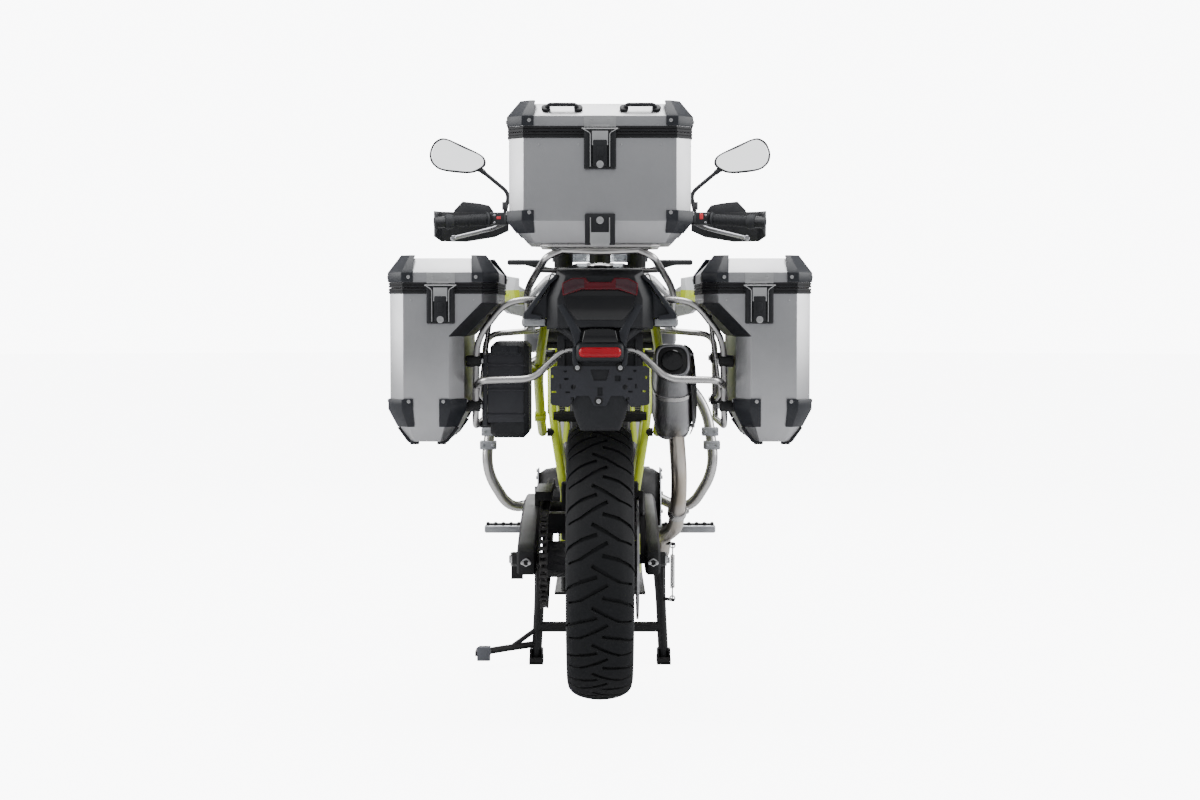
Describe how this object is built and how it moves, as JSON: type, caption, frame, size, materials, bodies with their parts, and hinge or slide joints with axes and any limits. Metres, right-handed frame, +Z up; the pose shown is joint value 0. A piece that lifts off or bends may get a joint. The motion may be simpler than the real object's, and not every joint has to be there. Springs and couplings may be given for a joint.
{
  "type": "adventure motorcycle",
  "caption": "Adventure motorcycle on its centre stand with wire wheels, a trellis frame, a screen, two aluminium side cases and a top case with hinged lids.",
  "frame": {"origin": "centre of the object's footprint box, on the floor", "axes": "+Y forward along the motorcycle, +X to the rider's right, +Z up"},
  "size_m": [0.954, 2.318, 1.397],
  "materials": {
    "lime_paint": "gloss",
    "black_paint": "satin",
    "black_plastic": "matt",
    "white_panel": "gloss",
    "tyre_rubber": "matt",
    "vinyl": "grained",
    "case_aluminium": "satin",
    "cast_aluminium": "cast",
    "engine_black": "satin",
    "stainless": "brushed",
    "fork_tube": "satin",
    "red_lens": "gloss",
    "clear_lens": "gloss",
    "screen": "gloss"
  },
  "bodies": {
    "root": {"drive_chain": "engine_black", "main_frame": "lime_paint", "rear_subframe": "lime_paint", "swingarm": "black_paint", "rear_shock": "white_panel", "crankcase": "cast_aluminium", "cylinder_block": "engine_black", "cylinder_head": "engine_black", "radiator": "black_paint", "engine_guard": "case_aluminium", "exhaust_headers": "stainless", "muffler": "stainless", "fuel_tank": "black_paint", "rider_seat": "vinyl", "pillion_seat": "vinyl", "tail_cowl": "black_plastic", "left_side_case": "case_aluminium", "right_side_case": "case_aluminium", "top_case": "case_aluminium", "side_case_rack": "stainless", "top_case_carrier": "stainless", "tail_lamp": "red_lens", "plate_carrier": "black_plastic", "low_brake_lamp": "red_lens", "plate_bracket": "black_plastic", "left_rear_indicator": "clear_lens", "right_rear_indicator": "clear_lens", "headlamp": "black_plastic", "headlamp_lens": "clear_lens", "front_beak": "lime_paint", "windscreen": "screen", "left_shroud": "white_panel", "right_shroud": "white_panel", "left_foot_peg": "cast_aluminium", "right_foot_peg": "cast_aluminium", "tool_box": "black_plastic"},
    "rear_wheel": {"rear_tyre": "tyre_rubber", "rear_wire_wheel": "engine_black"},
    "front_wheel": {"front_tyre": "tyre_rubber", "front_wire_wheel": "engine_black"},
    "steering": {"front_fork": "fork_tube", "handlebar": "black_paint", "left_handguard": "black_plastic", "right_handguard": "black_plastic", "left_mirror": "black_plastic", "right_mirror": "black_plastic", "front_mudguard": "black_plastic"},
    "centre_stand": {"centre_stand": "black_paint"},
    "side_stand": {"side_stand": "black_paint"},
    "left_lid": {"left_case_lid": "case_aluminium"},
    "right_lid": {"right_case_lid": "case_aluminium"},
    "top_lid": {"top_case_lid": "case_aluminium"}
  },
  "joints": [
    {"name": "rear_wheel_spin", "type": "hinge", "parent": "root", "child": "rear_wheel", "pos_m": [0, -0.789, 0.341], "axis": [1, 0, 0], "continuous": true},
    {"name": "steering_turn", "type": "hinge", "parent": "root", "child": "steering", "pos_m": [0, 0.39929, 1], "axis": [0, -0.4695, 0.8829], "range_deg": [-38, 38]},
    {"name": "front_wheel_spin", "type": "hinge", "parent": "steering", "child": "front_wheel", "pos_m": [0, 0.811, 0.348], "axis": [1, 0, 0], "continuous": true},
    {"name": "centre_stand_swing", "type": "hinge", "parent": "root", "child": "centre_stand", "pos_m": [0, -0.229, 0.27], "axis": [-1, 0, 0], "range_deg": [0, 80]},
    {"name": "side_stand_swing", "type": "hinge", "parent": "root", "child": "side_stand", "pos_m": [-0.124, -0.109, 0.228], "axis": [1, 0, 0], "range_deg": [0, 90]},
    {"name": "left_lid_hinge", "type": "hinge", "parent": "root", "child": "left_lid", "pos_m": [-0.346, -0.524, 0.962], "axis": [-1, 0, 0], "range_deg": [0, 85]},
    {"name": "right_lid_hinge", "type": "hinge", "parent": "root", "child": "right_lid", "pos_m": [0.346, -0.524, 0.962], "axis": [-1, 0, 0], "range_deg": [0, 85]},
    {"name": "top_lid_hinge", "type": "hinge", "parent": "root", "child": "top_lid", "pos_m": [0, -0.794, 1.288], "axis": [-1, 0, 0], "range_deg": [0, 85]}
  ]
}
